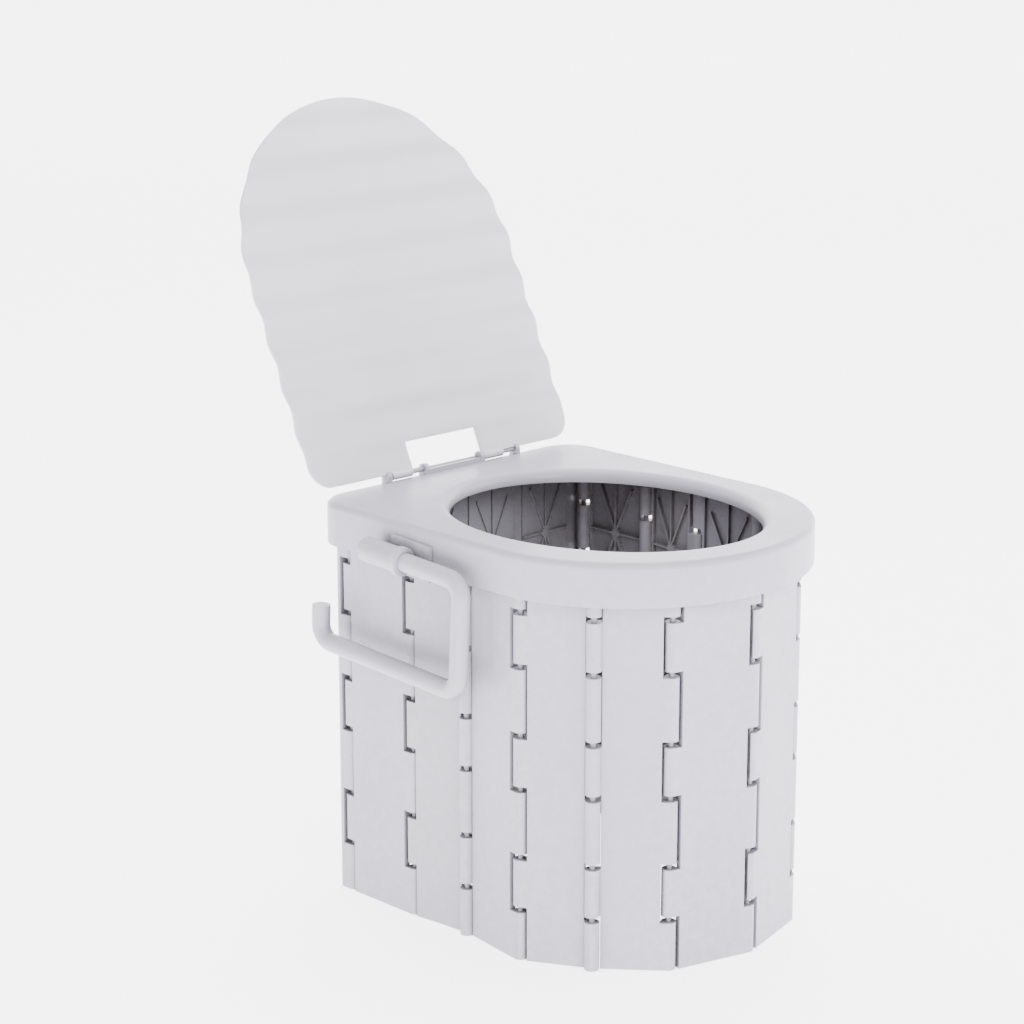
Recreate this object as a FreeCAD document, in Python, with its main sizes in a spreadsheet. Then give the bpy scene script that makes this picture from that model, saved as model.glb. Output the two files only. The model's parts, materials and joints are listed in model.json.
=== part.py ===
import FreeCAD, Part
import math
import os
import Sketcher

# Portable camp toilet with a folding wall.
# Origin: centre of the footprint on the floor. +Z is up, and the front of the seat faces -Y.
# The wall is a closed ring: a rear wall and twelve narrow panels on upright hinge pins.
# A seat drops over the top of the wall, and carries the lid and the roll holder.

SIZES = {
    "wall_height": 300.0,
    # Panels, from the rear pin of one side to the front pin in the middle.
    "width_one": 70.0,
    "width_two": 57.5,
    "width_three": 59.5,
    "width_four": 55.5,
    "width_five": 55.5,
    "width_six": 68.0,
    "heading_one": -90.0,
    "heading_two": -90.0,
    "heading_three": -92.3,
    "heading_four": -66.5,
    "heading_five": -42.6,
    "heading_six": -15.0,
    "rear_pin": 149.0,
    # Section of a panel and its hinge knuckles.
    "barrel": 5.6,
    "plate": 5.2,
    "skin": 2.2,
    "rim": 2.0,
    "rib": 1.6,
    "gap": 0.5,
    "overlap": 2.0,
    "pin_radius": 2.1,
    "pin_play": 0.05,
    "pin_end": 1.0,
    "short_centre": 59.6,
    "short_knuckle": 40.8,
    "knuckle_pitch": 92.9,
    "knuckle_gap": 4.6,
    "slot_play": 0.6,
    # Star ribs on the inside of every panel.
    "hub_radius": 4.0,
    "star_reach": 42.0,
    "star_lean": 24.0,
    # Rear wall.
    "rear_face": 161.5,
    "rear_plate": 3.6,
    "field_width": 50.0,
    "field_pitch": 59.0,
    "field_depth": 1.2,
    "rear_rib": 1.5,
    "rear_corner": 5.0,
    # Seat.
    "seat_half_width": 139.0,
    "seat_rear": 179.5,
    "seat_shoulder": -25.0,
    "seat_front": 131.5,
    "seat_top": 310.0,
    "seat_bottom": 277.5,
    "seat_under": 300.4,
    "skirt": 2.5,
    "seat_corner": 30.0,
    "seat_edge": 4.5,
    "opening_half_width": 106.5,
    "opening_half_length": 127.0,
    "opening_centre": 4.0,
    "opening_edge": 8.0,
    # Lid and its hinge.
    "lid_axis_y": 177.5,
    "lid_axis_z": 314.0,
    "lid_open": 115.4,
    "lid_half_width": 137.0,
    "lid_shoulder": 168.0,
    "lid_arch": 138.0,
    "lid_thick": 3.0,
    "lid_start": 1.0,
    "lid_corner": 18.0,
    "cut_half_width": 37.5,
    "cut_depth": 23.5,
    "lid_knuckle": 21.0,
    "lid_knuckle_centre": 49.0,
    "lid_barrel": 3.6,
    "lid_pin": 2.0,
    "lug": 4.0,
    "lug_radius": 4.2,
    "lug_inner": 33.0,
    "lug_slot": 35.0,
    "lug_shift": 6.0,
    "lug_foot": 10.0,
    # Roll holder.
    "socket_x": -152.0,
    "socket_y": 65.0,
    "socket_z": 286.5,
    "socket_radius": 9.6,
    "socket_length": 36.0,
    "collar_radius": 10.8,
    "collar_length": 5.0,
    "holder_tilt": 3.0,
    "bar_radius": 7.0,
    "bar_inside": 30.0,
    "bar_reach": 66.0,
    "bar_drop": 84.0,
    "bar_run": 152.0,
    "bar_tip": 27.0,
    "bar_bend": 13.0,
    "bracket_width": 42.0,
    "bracket_height": 25.0,
    "bracket_thick": 3.0,
    "bracket_low": 12.0,
    "web_height": 9.0,
    "hook_drop": 3.0,
    "hook_reach": 4.3,
    "hook_thick": 1.6,
    "hook_rise": 8.0,
}
WIDTHS = ["width_one", "width_two", "width_three", "width_four", "width_five", "width_six"]
HEADINGS = ["heading_one", "heading_two", "heading_three", "heading_four", "heading_five", "heading_six"]
# A flush hinge has its pin on the inside of the panels. A proud one has it on the outside.
FLUSH = [True, True, False, True, False, True, True]
LETTERS = "abcdefg"
STARS = 3


def unit(heading):
    angle = math.radians(heading)
    return FreeCAD.Vector(math.cos(angle), math.sin(angle), 0.0)


side_run = sum(SIZES[w] * unit(SIZES[a]).x for w, a in zip(WIDTHS, HEADINGS))
SIZES["side_reach"] = round(side_run, 4)

doc = FreeCAD.newDocument("camp_toilet")
sheet = doc.addObject("Spreadsheet::Sheet", "sheet")
for row, (alias, value) in enumerate(SIZES.items(), start=1):
    sheet.set("A%d" % row, alias)
    sheet.set("B%d" % row, str(value))
    sheet.setAlias("B%d" % row, alias)
doc.recompute()

size = dict(SIZES)
NODES = []


def amount(expression):
    """Value of a sheet expression as a plain number."""
    result = sheet.evalExpression(expression.replace("sheet.", ""))
    return float(getattr(result, "Value", result))


def bind(thing, **expressions):
    for name, expression in expressions.items():
        thing.setExpression(name, expression)


def place(thing, across, along, level):
    """Put a solid's own corner or centre at a place given by expressions."""
    thing.setExpression("Placement.Base.x", across)
    thing.setExpression("Placement.Base.y", along)
    thing.setExpression("Placement.Base.z", level)


def turned(axis, angle):
    return FreeCAD.Placement(FreeCAD.Vector(), FreeCAD.Rotation(FreeCAD.Vector(*axis), angle))


# ---------------------------------------------------------------- Part helpers

def part_box(low, spans, placement=None):
    """A box from its low corner and its three sizes."""
    box = doc.addObject("Part::Box", "box")
    if placement is not None:
        box.Placement = placement
    bind(box, Length=spans[0], Width=spans[1], Height=spans[2])
    place(box, *low)
    return box


def part_rod(centre, radius, length, axis):
    """A cylinder that runs from a centre along +X, +Y or +Z."""
    cylinder = doc.addObject("Part::Cylinder", "cylinder")
    if axis == "X":
        cylinder.Placement = turned((0, 1, 0), 90)
    if axis == "Y":
        cylinder.Placement = turned((1, 0, 0), -90)
    bind(cylinder, Radius=radius, Height=length)
    place(cylinder, *centre)
    return cylinder


def part_oval(centre, half_x, half_y, length):
    """An upright elliptical cylinder."""
    ellipse = doc.addObject("Part::Ellipse", "oval")
    along_x = amount(half_x) >= amount(half_y)
    if not along_x:
        ellipse.Placement = turned((0, 0, 1), 90)
    major, minor = (half_x, half_y) if along_x else (half_y, half_x)
    bind(ellipse, MajorRadius=major, MinorRadius=minor)
    place(ellipse, *centre)
    prism = doc.addObject("Part::Extrusion", "oval_prism")
    prism.Base = ellipse
    prism.DirMode = "Custom"
    prism.Dir = FreeCAD.Vector(0, 0, 1)
    prism.Solid = True
    prism.setExpression("LengthFwd", length)
    return prism


def fused(shapes):
    fusion = doc.addObject("Part::MultiFuse", "fusion")
    fusion.Shapes = shapes
    fusion.Refine = True
    return fusion


def minus(base, tool):
    cut = doc.addObject("Part::Cut", "cut")
    cut.Base = base
    cut.Tool = tool
    return cut


def rounded(base, rule, radius):
    """Round the edges for which the rule holds."""
    doc.recompute()
    chosen = [(number, radius, radius) for number, edge in enumerate(base.Shape.Edges, start=1) if rule(edge)]
    if not chosen:
        raise RuntimeError("no edge to round on " + base.Name)
    fillet = doc.addObject("Part::Fillet", "rounding")
    fillet.Base = base
    fillet.Edges = chosen
    return fillet


def finished(thing, label):
    thing.Label = label
    NODES.append(thing)
    return thing


def upright(edge):
    ends = [vertex.Point for vertex in edge.Vertexes]
    return len(ends) == 2 and abs(ends[0].x - ends[1].x) + abs(ends[0].y - ends[1].y) < 1e-6


def flat_at(edge, level):
    box = edge.BoundBox
    return abs(box.ZMin - level) < 1e-6 and abs(box.ZMax - level) < 1e-6


# ---------------------------------------------------------------- PartDesign helpers

def new_body(label):
    body = doc.addObject("PartDesign::Body", label)
    body.Label = label
    NODES.append(body)
    return body


def plane(body, role):
    return [feature for feature in body.Origin.OriginFeatures if feature.Role == role][0]


def tie(sketch, kind, geometry, end, expression):
    """Hold a sketch point at a distance from the origin that the sheet sets."""
    value = amount(expression)
    index = sketch.addConstraint(Sketcher.Constraint(kind, -1, 1, geometry, end, value))
    sketch.setExpression("Constraints[%d]" % index, expression)


def outline(body, name, role, points, arcs, closed=True):
    """Sketch a chain of lines and counter-clockwise arcs whose corners the sheet places.

    arcs maps a segment's number to its centre, given as expressions.
    """
    sketch = body.newObject("Sketcher::SketchObject", name)
    sketch.AttachmentSupport = (plane(body, role), [""])
    sketch.MapMode = "FlatFace"
    spots = [FreeCAD.Vector(amount(x), amount(y), 0) for x, y in points]
    count = len(points) if closed else len(points) - 1
    for number in range(count):
        start = spots[number]
        end = spots[(number + 1) % len(spots)]
        if number not in arcs:
            sketch.addGeometry(Part.LineSegment(start, end), False)
            continue
        centre = FreeCAD.Vector(amount(arcs[number][0]), amount(arcs[number][1]), 0)
        circle = Part.Circle(centre, FreeCAD.Vector(0, 0, 1), (start - centre).Length)
        first = math.atan2(start.y - centre.y, start.x - centre.x)
        last = math.atan2(end.y - centre.y, end.x - centre.x)
        sketch.addGeometry(Part.ArcOfCircle(circle, first, last), False)
        tie(sketch, "DistanceX", number, 3, arcs[number][0])
    for number in range(count):
        tie(sketch, "DistanceX", number, 1, points[number][0])
        tie(sketch, "DistanceY", number, 1, points[number][1])
        if number + 1 < count or closed:
            follower = (number + 1) % count
            sketch.addConstraint(Sketcher.Constraint("Coincident", number, 2, follower, 1))
    if not closed:
        tie(sketch, "DistanceX", count - 1, 2, points[-1][0])
        tie(sketch, "DistanceY", count - 1, 2, points[-1][1])
    return sketch


def pad(body, sketch, level, length):
    sketch.setExpression("AttachmentOffset.Base.z", level)
    feature = body.newObject("PartDesign::Pad", sketch.Name + "_pad")
    feature.Profile = sketch
    feature.setExpression("Length", length)
    return feature


def circle_sketch(body, role, radius):
    """A circle about the origin of one of the body's planes."""
    sketch = body.newObject("Sketcher::SketchObject", "section")
    sketch.AttachmentSupport = (plane(body, role), [""])
    sketch.MapMode = "FlatFace"
    sketch.addGeometry(Part.Circle(FreeCAD.Vector(), FreeCAD.Vector(0, 0, 1), size[radius]), False)
    sketch.addConstraint(Sketcher.Constraint("Coincident", 0, 3, -1, 1))
    index = sketch.addConstraint(Sketcher.Constraint("Radius", 0, size[radius]))
    sketch.setExpression("Constraints[%d]" % index, "sheet." + radius)
    return sketch


# ---------------------------------------------------------------- wall panels

def short_zones():
    """Levels and lengths of the three knuckles on one side of a hinge."""
    for number in range(3):
        low = "sheet.short_centre - sheet.short_knuckle / 2 + %d * sheet.knuckle_pitch" % number
        yield low + " + sheet.knuckle_gap / 2", "sheet.short_knuckle - sheet.knuckle_gap"


def long_zones():
    """Levels and lengths of the four knuckles on the other side, the end ones shorter."""
    half = "(sheet.short_knuckle / 2 + sheet.knuckle_gap / 2)"
    yield "0", "sheet.short_centre - " + half
    for number in range(2):
        low = "sheet.short_centre + %d * sheet.knuckle_pitch + %s" % (number, half)
        yield low, "sheet.knuckle_pitch - 2 * " + half
    top = "sheet.short_centre + 2 * sheet.knuckle_pitch + " + half
    yield top, "sheet.wall_height - (%s)" % top


def star_ribs(middle, low, reach, face, depth):
    """Ribs that cross at three hubs, with their outer side at Y = face."""
    shapes = [part_box(("%s - sheet.rib / 2" % middle, face, "0"), ("sheet.rib", depth, "sheet.wall_height"))]
    for number in range(STARS):
        centre = "sheet.short_centre + %d * sheet.knuckle_pitch" % number
        shapes.append(part_box((low, face, centre + " - sheet.rib / 2"), (reach, depth, "sheet.rib")))
        for side in (-1, 1):
            leaning = part_box(("0", "0", "0"), ("sheet.rib", depth, "2 * sheet.star_reach"),
                               turned((0, 1, 0), side * size["star_lean"]))
            shift = "%d * sheet.star_reach * sin(sheet.star_lean * 1 deg)" % side
            drop = "sheet.star_reach * cos(sheet.star_lean * 1 deg)"
            place(leaning, "%s - %s - sheet.rib / 2" % (middle, shift), face, "%s - %s" % (centre, drop))
            shapes.append(leaning)
        shapes.append(part_rod((middle, face, centre), "sheet.hub_radius", depth, "Y"))
    return shapes


def pin_depth(flush):
    """How far a hinge's pin lies inside the panel's outer face."""
    return "sheet.barrel" if flush else "(sheet.plate - sheet.barrel)"


def knuckles(centre, root, face, zones):
    """Round barrels on a pin, each with a tongue to its plate.

    root is the tongue's low X and its length, and face its low Y.
    """
    shapes = []
    for low, length in zones:
        shapes.append(part_rod((centre[0], centre[1], low), "sheet.barrel", length, "Z"))
        shapes.append(part_box((root[0], face, low), (root[1], "sheet.plate", length)))
    return shapes


def bores(spots):
    tall = "sheet.wall_height"
    return [part_rod((x, y, "0"), "sheet.pin_radius + sheet.pin_play", tall, "Z") for x, y in spots]


def wall_panel(label, width, flush_left, flush_right, start, heading, open_left=False):
    """A panel in its own frame: X along its outer face, Y inward, Z up."""
    step = "(2 * sheet.barrel - sheet.plate)"
    level = flush_left == flush_right
    span = "sheet.%s" % width if level else "sqrt(sheet.%s * sheet.%s - %s * %s)" % (width, width, step, step)
    edge = "(sheet.barrel + sheet.gap)"
    clear = "%s - 2 * %s" % (span, edge)
    tall = "sheet.wall_height"
    left_depth = pin_depth(flush_left)
    right_depth = pin_depth(flush_right)
    shapes = [
        part_box((edge, "0", "0"), (clear, "sheet.skin", tall)),
        part_box((edge, "0", "0"), ("sheet.rim", "sheet.plate", tall)),
        part_box(("%s - %s - sheet.rim" % (span, edge), "0", "0"), ("sheet.rim", "sheet.plate", tall)),
        part_box((edge, "0", "0"), (clear, "sheet.plate", "sheet.rim")),
        part_box((edge, "0", "sheet.wall_height - sheet.rim"), (clear, "sheet.plate", "sheet.rim")),
    ]
    shapes += star_ribs(span + " / 2", edge, clear, "sheet.skin / 2", "sheet.plate - sheet.skin / 2")
    tongue = edge + " + sheet.overlap"
    shapes += knuckles(("0", left_depth), ("0", tongue), "0", short_zones())
    right_root = "%s - (%s)" % (span, tongue)
    shapes += knuckles((span, right_depth), (right_root, tongue), "0", long_zones())
    tools = bores([("0", left_depth), (span, right_depth)])
    if open_left:
        throat = "2 * (sheet.pin_radius + sheet.slot_play)"
        tools.append(part_box(("-2 * sheet.barrel", "sheet.barrel - (%s) / 2" % throat, "0"),
                              ("2 * sheet.barrel", throat, tall)))
    panel = finished(minus(fused(shapes), fused(tools)), label)
    rise = amount(right_depth) - amount(left_depth)
    slope = math.degrees(math.atan2(rise, amount(span)))
    rotation = FreeCAD.Rotation(FreeCAD.Vector(0, 0, 1), heading - slope)
    offset = rotation.multVec(FreeCAD.Vector(0, amount(left_depth), 0))
    panel.Placement = FreeCAD.Placement(start - offset, rotation)


def hinge_pin(label, spot):
    """A plain round pin, made as a padded circle."""
    body = new_body(label)
    section = circle_sketch(body, "XY_Plane", "pin_radius")
    pad(body, section, "sheet.pin_end", "sheet.wall_height - 2 * sheet.pin_end")
    body.Placement = FreeCAD.Placement(spot, FreeCAD.Rotation())


def pin_spots():
    """The seven pins of the left side, rear to front."""
    spot = FreeCAD.Vector(-size["side_reach"], size["rear_pin"], 0)
    spots = [spot]
    for width, heading in zip(WIDTHS, HEADINGS):
        spot = spot + unit(size[heading]) * size[width]
        spots.append(spot)
    return spots


def mirrored(spot):
    return FreeCAD.Vector(-spot.x, spot.y, spot.z)


def build_panels():
    spots = pin_spots()
    for number in range(6):
        wall_panel("left_panel_%d" % (number + 1), WIDTHS[number], FLUSH[number], FLUSH[number + 1],
                   spots[number], size[HEADINGS[number]])
        wall_panel("right_panel_%d" % (number + 1), WIDTHS[number], FLUSH[number + 1], FLUSH[number],
                   mirrored(spots[number + 1]), -size[HEADINGS[number]], open_left=(number == 5))
    for letter, spot in zip(LETTERS[:6], spots[:6]):
        hinge_pin("left_pin_" + letter, spot)
        hinge_pin("right_pin_" + letter, mirrored(spot))
    hinge_pin("front_pin_g", spots[6])


# ---------------------------------------------------------------- rear wall

def build_rear_wall():
    """Back plate with star fields, and a short return on each side that ends in knuckles."""
    tall = "sheet.wall_height"
    reach = "(sheet.side_reach + sheet.barrel)"
    back = "sheet.rear_face - sheet.rear_plate"
    face = back + " - sheet.field_depth"
    root = "(sheet.rear_pin + sheet.barrel + sheet.gap)"
    shapes = [part_box(("-" + reach, back, "0"), ("2 * " + reach, "sheet.rear_plate", tall))]
    for number in range(4):
        middle = "%.1f * sheet.field_pitch" % (number - 1.5)
        low = "%s - sheet.field_width / 2" % middle
        shapes.append(part_box((low, face, "0"), ("sheet.field_width", "2 * sheet.field_depth", tall)))
        shapes += star_ribs(middle, low, "sheet.field_width", face + " - sheet.rear_rib",
                            "2 * sheet.rear_rib")
    for side, zones in ((-1, long_zones()), (1, short_zones())):
        low = "-" + reach if side < 0 else reach + " - sheet.plate"
        shapes.append(part_box((low, root, "0"), ("sheet.plate", "sheet.rear_face - " + root, tall)))
        for level, length in zones:
            centre = ("%d * sheet.side_reach" % side, "sheet.rear_pin", level)
            shapes.append(part_rod(centre, "sheet.barrel", length, "Z"))
            shapes.append(part_box((low, "sheet.rear_pin", level),
                                   ("sheet.plate", "sheet.barrel + sheet.gap + sheet.overlap", length)))
    tools = bores([("%d * sheet.side_reach" % side, "sheet.rear_pin") for side in (-1, 1)])
    wall = rounded(fused(shapes), lambda edge: upright(edge) and edge.BoundBox.YMin > size["rear_face"] - 0.1,
                   size["rear_corner"])
    finished(minus(wall, fused(tools)), "rear_wall")


# ---------------------------------------------------------------- seat

def seat_form(inset, low, length):
    """The seat's plan: a rear rectangle and a half-ellipse front, drawn in by an inset."""
    half = "sheet.seat_half_width - %s" % inset
    front = part_oval(("0", "sheet.seat_shoulder", low), half, "sheet.seat_front - %s" % inset, length)
    rear = part_box(("-(%s)" % half, "sheet.seat_shoulder", low),
                    ("2 * (%s)" % half, "sheet.seat_rear - sheet.seat_shoulder - %s" % inset, length))
    edge = size["seat_rear"] - amount(inset) - 1
    return rounded(fused([front, rear]), lambda side: upright(side) and side.BoundBox.YMin > edge,
                   size["seat_corner"] - amount(inset))


def lid_lugs():
    """Four lugs on the rear edge, and the raised step between the middle two."""
    foot = "sheet.seat_top - sheet.lug_foot"
    rise = "sheet.lid_axis_z - (%s)" % foot
    near = "sheet.lid_axis_y - sheet.lug_radius"
    deep = "2 * sheet.lug_radius"
    shapes = []
    for left in lug_starts():
        shapes.append(part_box((left, near, foot), ("sheet.lug", deep, rise)))
        shapes.append(part_rod((left, "sheet.lid_axis_y", "sheet.lid_axis_z"), "sheet.lug_radius",
                               "sheet.lug", "X"))
    second = lug_starts()[1]
    third = lug_starts()[2]
    shapes.append(part_box((second, near, foot), ("%s - (%s)" % (third, second), deep, rise)))
    return shapes


def lug_starts():
    outer = "sheet.lug_inner + sheet.lug_slot"
    return ["-(%s) + sheet.lug_shift - sheet.lug + 1" % outer,
            "-sheet.lug_inner + sheet.lug_shift + 1",
            "sheet.lug_inner + sheet.lug_shift - sheet.lug - 1",
            "%s + sheet.lug_shift - 1" % outer]


def build_seat():
    body = seat_form("0", "sheet.seat_bottom", "sheet.seat_top - sheet.seat_bottom")
    body = rounded(body, lambda edge: flat_at(edge, size["seat_top"]), size["seat_edge"])
    opening = part_oval(("0", "sheet.opening_centre", "sheet.seat_bottom"), "sheet.opening_half_width",
                        "sheet.opening_half_length", "2 * (sheet.seat_top - sheet.seat_bottom)")
    body = minus(body, opening)
    reach = size["opening_half_width"] + 1
    body = rounded(body, lambda edge: flat_at(edge, size["seat_top"]) and edge.BoundBox.XMax < reach
                   and edge.BoundBox.XMin > -reach and edge.BoundBox.YMax < 2 * size["opening_half_length"],
                   size["opening_edge"])
    body = minus(body, seat_form("sheet.skirt", "sheet.seat_bottom - 1",
                                 "sheet.seat_under - sheet.seat_bottom + 1"))
    body = fused([body] + lid_lugs())
    starts = lug_starts()
    bore = part_rod((starts[0] + " - 1", "sheet.lid_axis_y", "sheet.lid_axis_z"),
                    "sheet.lid_pin + sheet.pin_play",
                    "%s - (%s) + sheet.lug + 2" % (starts[3], starts[0]), "X")
    finished(minus(body, bore), "seat")


def build_lid_pins():
    starts = lug_starts()
    for label, first, last in (("lid_pin_left", starts[0], starts[1]), ("lid_pin_right", starts[2], starts[3])):
        length = "%s + sheet.lug - (%s)" % (last, first)
        pin = part_rod((first, "sheet.lid_axis_y", "sheet.lid_axis_z"), "sheet.lid_pin", length, "X")
        finished(pin, label)


# ---------------------------------------------------------------- lid

def build_lid():
    """Built closed, with the hinge axis as its X axis, then opened."""
    low = "-sheet.lid_thick"
    arch = part_oval(("0", "-sheet.lid_shoulder", low), "sheet.lid_half_width", "sheet.lid_arch",
                     "sheet.lid_thick")
    rear = part_box(("-sheet.lid_half_width", "-sheet.lid_shoulder", low),
                    ("2 * sheet.lid_half_width", "sheet.lid_shoulder - sheet.lid_start", "sheet.lid_thick"))
    plate = rounded(fused([arch, rear]),
                    lambda edge: upright(edge) and edge.BoundBox.YMin > -2 * size["lid_start"],
                    size["lid_corner"])
    cut = part_box(("-sheet.cut_half_width", "-sheet.cut_depth", "2 * " + low),
                   ("2 * sheet.cut_half_width", "2 * sheet.cut_depth", "4 * sheet.lid_thick"))
    cuts = [cut]
    starts = lug_starts()
    for left in starts:
        cuts.append(part_box((left + " - 1.2", "-sheet.lug_radius - 1", "2 * " + low),
                             ("sheet.lug + 2.2", "3 * sheet.lug_radius", "4 * sheet.lid_thick")))
    plate = minus(plate, fused(cuts))
    knuckles = []
    bores = []
    for side in (-1, 1):
        left = "%d * sheet.lid_knuckle_centre - sheet.lid_knuckle / 2" % side
        knuckles.append(part_rod((left, "0", "0"), "sheet.lid_barrel", "sheet.lid_knuckle", "X"))
    for first, last in ((starts[0], starts[1]), (starts[2], starts[3])):
        bores.append(part_rod((first + " - 1", "0", "0"), "sheet.lid_pin + sheet.pin_play",
                              "%s + sheet.lug - (%s) + 2" % (last, first), "X"))
    lid = finished(minus(fused([plate] + knuckles), fused(bores)), "lid")
    lid.Placement = turned((1, 0, 0), -size["lid_open"])
    place(lid, "0", "sheet.lid_axis_y", "sheet.lid_axis_z")


# ---------------------------------------------------------------- roll holder

def holder_place(thing):
    """The holder's own frame: its Y axis is the socket's axis."""
    thing.Placement = turned((1, 0, 0), size["holder_tilt"])
    place(thing, "sheet.socket_x", "sheet.socket_y", "sheet.socket_z")


def build_bracket():
    """A plate on the skirt, with a hook under it and a round socket on its face."""
    face = "(-sheet.seat_half_width - sheet.socket_x)"
    low = "-sheet.bracket_low"
    near = "-sheet.bracket_width / 2"
    plate_x = "%s - sheet.bracket_thick" % face
    plate = part_box((plate_x, near, low), ("sheet.bracket_thick", "sheet.bracket_width", "sheet.bracket_height"))
    sole = part_box((plate_x, near, low + " - sheet.hook_drop + 1"),
                    ("sheet.bracket_thick + sheet.hook_reach", "sheet.bracket_width", "sheet.hook_thick"))
    drop = part_box((plate_x, near, low + " - sheet.hook_drop + 1"),
                    ("sheet.bracket_thick", "sheet.bracket_width", "sheet.hook_drop"))
    rise = part_box((plate_x + " + sheet.bracket_thick + sheet.hook_reach - sheet.hook_thick", near,
                     low + " - sheet.hook_drop + 1"), ("sheet.hook_thick", "sheet.bracket_width",
                                                      "sheet.hook_rise"))
    web = part_box(("0", "0", "-sheet.web_height / 2"),
                   (plate_x, "sheet.bracket_width / 2", "sheet.web_height"))
    socket = part_rod(("0", "0", "0"), "sheet.socket_radius", "sheet.socket_length", "Y")
    collar = part_rod(("0", "-sheet.collar_length", "0"), "sheet.collar_radius", "sheet.collar_length + 1", "Y")
    bore = part_rod(("0", "-sheet.collar_length - 1", "0"), "sheet.bar_radius + sheet.pin_play",
                    "sheet.collar_length + 1 + sheet.bar_inside + 1", "Y")
    bracket = finished(minus(fused([plate, sole, drop, rise, web, socket, collar]), bore), "holder_bracket")
    holder_place(bracket)


def build_bar():
    """A bent round bar: in the socket, forward, down, back, and up at its tip."""
    body = new_body("roll_bar")
    front = "-sheet.bar_reach"
    foot = "-sheet.bar_drop"
    back = "sheet.bar_run - sheet.bar_reach"
    bend = "sheet.bar_bend"
    front_bend = "%s + %s" % (front, bend)
    back_bend = "%s - %s" % (back, bend)
    foot_bend = "%s + %s" % (foot, bend)
    points = [("sheet.bar_inside", "0.0"), (front_bend, "0.0"), (front, "-" + bend), (front, foot_bend),
              (front_bend, foot), (back_bend, foot), (back, foot_bend), (back, foot + " + sheet.bar_tip")]
    arcs = {1: (front_bend, "-" + bend), 3: (front_bend, foot_bend), 5: (back_bend, foot_bend)}
    route = outline(body, "route", "YZ_Plane", points, arcs, closed=False)
    section = circle_sketch(body, "XZ_Plane", "bar_radius")
    section.setExpression("AttachmentOffset.Base.z", "-sheet.bar_inside")
    pipe = body.newObject("PartDesign::AdditivePipe", "pipe")
    pipe.Profile = section
    pipe.Spine = (route, ["Edge%d" % number for number in range(1, 8)])
    holder_place(body)


# ---------------------------------------------------------------- build, check, write

build_rear_wall()
build_panels()
build_seat()
build_lid_pins()
build_lid()
build_bracket()
build_bar()
doc.recompute()

for item in doc.Objects:
    if "Invalid" in item.State or "Error" in item.State:
        raise RuntimeError("%s failed: %s" % (item.Label, item.State))
os.makedirs("parts", exist_ok=True)
for node in NODES:
    shape = node.Shape
    if shape.isNull() or not shape.isValid() or len(shape.Solids) != 1:
        raise RuntimeError("bad shape: %s, %d solids" % (node.Label, len(shape.Solids)))
    shape.exportStep("parts/%s.step" % node.Label)
    print("%-16s %10.0f mm3" % (node.Label, shape.Volume))
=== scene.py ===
import json
import math

import bmesh
import bpy
from mathutils import Matrix, Vector


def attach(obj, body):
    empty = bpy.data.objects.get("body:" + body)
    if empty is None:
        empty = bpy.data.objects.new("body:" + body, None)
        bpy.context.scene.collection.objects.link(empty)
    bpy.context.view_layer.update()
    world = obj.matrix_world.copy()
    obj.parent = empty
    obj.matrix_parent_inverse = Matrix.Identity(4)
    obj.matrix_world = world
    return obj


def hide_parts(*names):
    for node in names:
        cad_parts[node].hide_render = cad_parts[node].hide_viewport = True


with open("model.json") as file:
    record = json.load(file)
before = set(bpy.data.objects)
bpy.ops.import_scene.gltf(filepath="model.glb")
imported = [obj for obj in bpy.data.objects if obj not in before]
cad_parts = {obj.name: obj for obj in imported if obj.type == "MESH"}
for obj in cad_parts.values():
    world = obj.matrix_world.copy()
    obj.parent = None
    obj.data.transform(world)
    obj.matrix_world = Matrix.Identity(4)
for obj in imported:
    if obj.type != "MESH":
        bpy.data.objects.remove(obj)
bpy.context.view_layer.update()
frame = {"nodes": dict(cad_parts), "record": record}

# Portable camp toilet: folding wall, seat, waved lid and roll holder. All sizes in metres.

# places taken from the frame
JOINTS = {joint["name"]: joint for joint in frame["record"]["behaviour"]["joints"]}
LID_AXIS = Vector(JOINTS["lid_hinge"]["pos_m"])
LID_OPEN = math.radians(JOINTS["lid_hinge"]["range_deg"][1])

# colours, linear
SHELL = (0.44, 0.43, 0.50, 1)
# painted warm bounce light: a warmer copy of SHELL for panel_2
SHELL_PAINTED_WARM_BOUNCE = (0.43, 0.42, 0.47, 1)
PIN = (0.38, 0.37, 0.42, 1)
LID_TONE = (0.66, 0.64, 0.69, 1)
HOLDER_TONE = (0.46, 0.445, 0.50, 1)
# painted shade colour for enclosed surfaces
DEEP_SHADE = (0.045, 0.036, 0.032, 1)
FLOOR_TONE = (0.93, 0.925, 0.95, 1)
FLOOR_GLOW_TONE = (1, 0.99, 1, 1)
SKY_TONE = (0.97, 0.97, 1.0, 1)


# materials
def link(tree, start, end):
    tree.links.new(start, end)


def noise(tree, scale, detail, roughness=0.5, stretch=(1, 1, 1)):
    """Noise in the object's own coordinates, in metres."""
    place = tree.nodes.new("ShaderNodeTexCoord")
    mapping = tree.nodes.new("ShaderNodeMapping")
    mapping.inputs["Scale"].default_value = stretch
    texture = tree.nodes.new("ShaderNodeTexNoise")
    texture.inputs["Scale"].default_value = scale
    texture.inputs["Detail"].default_value = detail
    texture.inputs["Roughness"].default_value = roughness
    link(tree, place.outputs["Object"], mapping.inputs["Vector"])
    link(tree, mapping.outputs["Vector"], texture.inputs["Vector"])
    return texture.outputs["Fac"]


def ramp(tree, value, low, high, start, end):
    node = tree.nodes.new("ShaderNodeMapRange")
    node.inputs["From Min"].default_value = low
    node.inputs["From Max"].default_value = high
    node.inputs["To Min"].default_value = start
    node.inputs["To Max"].default_value = end
    link(tree, value, node.inputs["Value"])
    return node.outputs["Result"]


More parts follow.
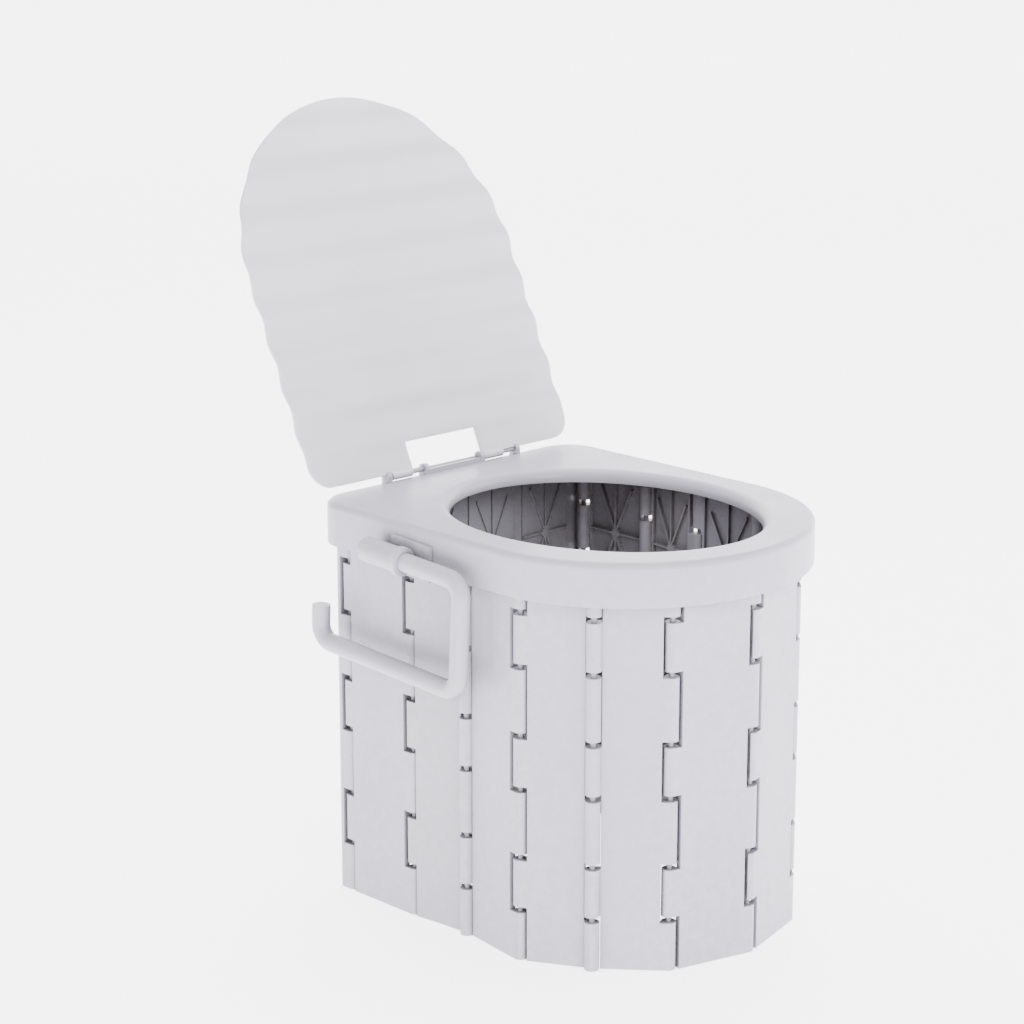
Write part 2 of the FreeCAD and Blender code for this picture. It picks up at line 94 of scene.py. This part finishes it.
def tinted(tree, factor, first, second):
    mix = tree.nodes.new("ShaderNodeMix")
    mix.data_type = "RGBA"
    mix.inputs["A"].default_value = first
    mix.inputs["B"].default_value = second
    link(tree, factor, mix.inputs["Factor"])
    return mix.outputs["Result"]


def moulded_plastic(name, tone, roughness=0.40, grain=0.05, edge_radius=0.0008, flow=(1, 1, 1)):
    """Satin polypropylene: flow mottling, rubbed edges, fine grain, and painted shade (ambient occlusion
    darkening) where it is enclosed.
    """
    material = bpy.data.materials.new(name)
    material.use_nodes = True
    tree = material.node_tree
    shader = tree.nodes["Principled BSDF"]
    darker = tuple(value * 0.93 for value in tone[:3]) + (1,)
    paler = tuple(min(1.0, value * 1.12) for value in tone[:3]) + (1,)
    mottle = ramp(tree, noise(tree, 9, 5, 0.6, flow), 0.35, 0.65, 0, 1)
    body = tinted(tree, mottle, darker, tone)
    geometry = tree.nodes.new("ShaderNodeNewGeometry")
    scuff = noise(tree, 140, 4, 0.6)
    edge = ramp(tree, geometry.outputs["Pointiness"], 0.52, 0.60, 0, 0.7)
    wear = tree.nodes.new("ShaderNodeMath")
    wear.operation = "MULTIPLY"
    link(tree, edge, wear.inputs[0])
    link(tree, ramp(tree, scuff, 0.42, 0.62, 0.2, 1), wear.inputs[1])
    worn = tree.nodes.new("ShaderNodeMix")
    worn.data_type = "RGBA"
    worn.inputs["B"].default_value = paler
    link(tree, wear.outputs[0], worn.inputs["Factor"])
    link(tree, body, worn.inputs["A"])
    # Painted shade: ambient occlusion blends the colour towards DEEP_SHADE on enclosed surfaces.
    painted_shade_ao = tree.nodes.new("ShaderNodeAmbientOcclusion")
    painted_shade_ao.samples = 4
    painted_shade_ao.inputs["Distance"].default_value = 0.35
    shade = tree.nodes.new("ShaderNodeMix")
    shade.data_type = "RGBA"
    shade.inputs["B"].default_value = DEEP_SHADE
    link(tree, ramp(tree, painted_shade_ao.outputs["AO"], 0.10, 0.36, 1, 0), shade.inputs["Factor"])
    link(tree, worn.outputs["Result"], shade.inputs["A"])
    link(tree, shade.outputs["Result"], shader.inputs["Base Color"])
    fine = noise(tree, 2600, 2, 0.5)
    smear = noise(tree, 30, 4, 0.55, flow)
    link(tree, ramp(tree, smear, 0.3, 0.7, roughness - 0.05, roughness + 0.07), shader.inputs["Roughness"])
    soft = tree.nodes.new("ShaderNodeBevel")
    soft.inputs["Radius"].default_value = edge_radius
    soft.samples = 4
    sink = tree.nodes.new("ShaderNodeBump")
    sink.inputs["Strength"].default_value = 0.12
    sink.inputs["Distance"].default_value = 0.0006
    link(tree, noise(tree, 22, 3, 0.5, flow), sink.inputs["Height"])
    link(tree, soft.outputs["Normal"], sink.inputs["Normal"])
    bump = tree.nodes.new("ShaderNodeBump")
    bump.inputs["Strength"].default_value = grain
    bump.inputs["Distance"].default_value = 0.0002
    link(tree, fine, bump.inputs["Height"])
    link(tree, sink.outputs["Normal"], bump.inputs["Normal"])
    link(tree, bump.outputs["Normal"], shader.inputs["Normal"])
    shader.inputs["Specular IOR Level"].default_value = 0.42
    shader.inputs["Subsurface Weight"].default_value = 0.06
    shader.inputs["Subsurface Radius"].default_value = (0.004, 0.004, 0.004)
    shader.inputs["Subsurface Scale"].default_value = 0.5
    return material


def paint(thing, material):
    thing.data.materials.clear()
    thing.data.materials.append(material)


def finish_nodes():
    """Every CAD node that stays in view gets the plastic of its moulding; panel_2 gets a copy tinted
    warmer as painted warm bounce light.
    """
    shell = moulded_plastic("panel_plastic", SHELL, flow=(1, 1, 0.3))
    # painted warm bounce light on panel_2, the same plastic as the other panels
    painted_bounce_shell = moulded_plastic("panel_plastic_painted_bounce", SHELL_PAINTED_WARM_BOUNCE, flow=(1, 1, 0.3))
    pin = moulded_plastic("pin_plastic", PIN, 0.48, flow=(1, 1, 0.2))
    seat = moulded_plastic("seat_plastic", SHELL, 0.34, 0.04, 0.0012)
    holder = moulded_plastic("holder_plastic", HOLDER_TONE, 0.36)
    for name, thing in frame["nodes"].items():
        # panel_2 takes the copy with painted warm bounce light
        if name.endswith("panel_2"):
            choice = painted_bounce_shell
        elif "panel" in name or name == "rear_wall":
            choice = shell
        elif "pin" in name:
            choice = pin
        elif name in ("holder_bracket", "roll_bar"):
            choice = holder
        else:
            choice = seat
        paint(thing, choice)


# lid
HALF_WIDTH = 0.137
SHOULDER = 0.168
ARCH = 0.138
START = 0.001
CORNER = 0.018
CUT_HALF = 0.0375
CUT_DEEP = 0.0235
LID_THICK = 0.0024
LID_MIDDLE = -0.0015
WAVE_PITCH = 0.0365
WAVE_HEIGHT = 0.0017
KNUCKLE_RADIUS = 0.0036
KNUCKLE_BORE = 0.00205
KNUCKLE_HALF = 0.0105
KNUCKLE_CENTRE = 0.049
ROW_SLACK = 1e-6
CORNER_STEPS = 8
LONG_STEPS = 60
SIDE_COLUMNS = 26
MIDDLE_COLUMNS = 16


def half_width(along):
    """Half the lid's width at a distance from its hinge axis."""
    if along > SHOULDER:
        return HALF_WIDTH * math.sqrt(max(0.0, 1 - ((along - SHOULDER) / ARCH) ** 2))
    if along < START + CORNER:
        rest = CORNER - (along - START)
        return HALF_WIDTH - CORNER + math.sqrt(max(0.0, CORNER ** 2 - rest ** 2))
    return HALF_WIDTH


def lid_rows():
    """Distances from the axis: close together in the corners and at the tip of the arch."""
    corner = [START + CORNER * (1 - math.cos(math.pi / 2 * k / CORNER_STEPS))
              for k in range(CORNER_STEPS + 1)]
    straight = [CUT_DEEP + (SHOULDER - CUT_DEEP) * k / LONG_STEPS for k in range(LONG_STEPS + 1)]
    arch = [SHOULDER + ARCH * math.sin(math.pi / 2 * k / LONG_STEPS) for k in range(1, LONG_STEPS)]
    return corner + straight + arch


def wave(along):
    """Soft transverse waves that die away towards the hinge and the tip."""
    fade = min(1.0, max(0.0, (along - 0.012) / 0.03), max(0.0, (SHOULDER + ARCH - along) / 0.012))
    return WAVE_HEIGHT * fade * math.sin(math.tau * along / WAVE_PITCH)


def lid_columns(along):
    wide = half_width(along)
    inner = CUT_HALF if along <= CUT_DEEP + 0.001 else CUT_HALF * wide / HALF_WIDTH
    left = [-wide + (wide - inner) * k / SIDE_COLUMNS for k in range(SIDE_COLUMNS)]
    middle = [-inner + 2 * inner * k / MIDDLE_COLUMNS for k in range(MIDDLE_COLUMNS)]
    right = [inner + (wide - inner) * k / SIDE_COLUMNS for k in range(SIDE_COLUMNS + 1)]
    return left + middle + right


def lid_place(across, along, proud):
    """From the lid's own closed frame to its open place."""
    turn = Matrix.Rotation(-LID_OPEN, 4, "X")
    return LID_AXIS + turn @ Vector((across, -along, proud))


def tube(mesh, centre, half, outer, inner, steps=40):
    """A short tube along X about the hinge axis, closed at its ends."""
    rings = []
    for across, radius in ((-half, inner), (-half, outer), (half, outer), (half, inner)):
        ring = []
        for k in range(steps):
            angle = math.tau * k / steps
            ring.append(mesh.verts.new(lid_place(centre + across, radius * math.cos(angle),
                                                 radius * math.sin(angle))))
        rings.append(ring)
    for first, second in zip(rings, rings[1:] + rings[:1]):
        for k in range(steps):
            mesh.faces.new((first[k], first[(k + 1) % steps], second[(k + 1) % steps], second[k]))


def make_lid():
    sheet = bmesh.new()
    rows = lid_rows()
    grid = [[sheet.verts.new(lid_place(across, along, LID_MIDDLE + wave(along)))
             for across in lid_columns(along)] for along in rows]
    for row in range(len(rows) - 1):
        for column in range(len(grid[0]) - 1):
            in_cut = SIDE_COLUMNS <= column < SIDE_COLUMNS + MIDDLE_COLUMNS
            if in_cut and rows[row + 1] <= CUT_DEEP + ROW_SLACK:
                continue
            sheet.faces.new((grid[row][column], grid[row][column + 1],
                             grid[row + 1][column + 1], grid[row + 1][column]))
    loose = [vert for vert in sheet.verts if not vert.link_faces]
    bmesh.ops.delete(sheet, geom=loose, context="VERTS")
    data = bpy.data.meshes.new("lid_plate")
    sheet.to_mesh(data)
    sheet.free()
    plate = bpy.data.objects.new("lid_plate", data)
    bpy.context.collection.objects.link(plate)
    solid = plate.modifiers.new("thickness", "SOLIDIFY")
    solid.thickness = LID_THICK
    solid.offset = 0
    edge = plate.modifiers.new("edge", "BEVEL")
    edge.width = 0.0007
    edge.segments = 3
    edge.limit_method = "ANGLE"
    edge.angle_limit = math.radians(50)
    knuckles = bmesh.new()
    for side in (-1, 1):
        tube(knuckles, side * KNUCKLE_CENTRE, KNUCKLE_HALF, KNUCKLE_RADIUS, KNUCKLE_BORE)
    bmesh.ops.recalc_face_normals(knuckles, faces=knuckles.faces)
    knuckle_data = bpy.data.meshes.new("lid_knuckles")
    knuckles.to_mesh(knuckle_data)
    knuckles.free()
    knuckle = bpy.data.objects.new("lid_knuckles", knuckle_data)
    bpy.context.collection.objects.link(knuckle)
    material = moulded_plastic("lid_plastic", LID_TONE, 0.38, 0.04, 0.0006)
    for piece in (plate, knuckle):
        paint(piece, material)
        for face in piece.data.polygons:
            face.use_smooth = piece is plate
        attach(piece, "lid")
        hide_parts("lid")


# stage, light, camera
FLOOR_GLOW = 3.5
SKY_STRENGTH = 1.3
LIGHT_AIM = (0, 0, 0.25)
STAGE_REACH = 9.0
STAGE_BEND = 2.5
STAGE_STEPS = 24
STAGE_TURN = math.radians(-46)
CAMERA_PLACE = (-1.4826, -1.4193, 0.8443)
CAMERA_AIM = (-0.0419, 0.0605, 0.3039)
CAMERA_LENS = 99.7


def aimed(thing, target):
    thing.rotation_euler = (Vector(target) - thing.location).to_track_quat("-Z", "Y").to_euler()


def make_stage():
    """A pale floor that curves up into a pale wall behind the object."""
    floor = bmesh.new()
    start = STAGE_REACH - STAGE_BEND
    line = [(-STAGE_REACH, 0.0), (start, 0.0)]
    for k in range(1, STAGE_STEPS + 1):
        angle = math.pi / 2 * k / STAGE_STEPS
        line.append((start + STAGE_BEND * math.sin(angle), STAGE_BEND - STAGE_BEND * math.cos(angle)))
    line.append((STAGE_REACH, STAGE_REACH))
    turn = Matrix.Rotation(STAGE_TURN, 4, "Z")
    rows = [[floor.verts.new(turn @ Vector((side * STAGE_REACH, along, level))) for side in (-1, 1)]
            for along, level in line]
    for first, second in zip(rows, rows[1:]):
        face = floor.faces.new((first[0], first[1], second[1], second[0]))
        face.smooth = True
    data = bpy.data.meshes.new("floor")
    floor.to_mesh(data)
    floor.free()
    thing = bpy.data.objects.new("floor", data)
    bpy.context.collection.objects.link(thing)
    material = bpy.data.materials.new("floor_paper")
    material.use_nodes = True
    shader = material.node_tree.nodes["Principled BSDF"]
    shader.inputs["Base Color"].default_value = FLOOR_TONE
    shader.inputs["Roughness"].default_value = 0.75
    shader.inputs["Emission Color"].default_value = FLOOR_GLOW_TONE
    shader.inputs["Emission Strength"].default_value = FLOOR_GLOW
    paint(thing, material)


def area_light(name, place, target, width, power):
    data = bpy.data.lights.new(name, "AREA")
    data.shape = "SQUARE"
    data.size = width
    data.energy = power
    lamp = bpy.data.objects.new(name, data)
    lamp.location = place
    bpy.context.collection.objects.link(lamp)
    aimed(lamp, target)


def make_light():
    world = bpy.data.worlds.new("studio")
    world.use_nodes = True
    sky = world.node_tree.nodes["Background"]
    sky.inputs["Color"].default_value = SKY_TONE
    sky.inputs["Strength"].default_value = SKY_STRENGTH
    bpy.context.scene.world = world
    area_light("key", (-1.0, -2.6, 2.4), LIGHT_AIM, 1.6, 75)
    area_light("side", (2.6, -1.6, 1.5), LIGHT_AIM, 1.6, 57)
    area_light("top", (0.4, 0.5, 2.8), LIGHT_AIM, 1.8, 60)


def make_camera():
    data = bpy.data.cameras.new("camera")
    data.lens = CAMERA_LENS
    data.clip_end = 60
    camera = bpy.data.objects.new("camera", data)
    camera.location = CAMERA_PLACE
    bpy.context.collection.objects.link(camera)
    aimed(camera, CAMERA_AIM)
    bpy.context.scene.camera = camera


make_camera()
make_stage()
make_light()
finish_nodes()
make_lid()
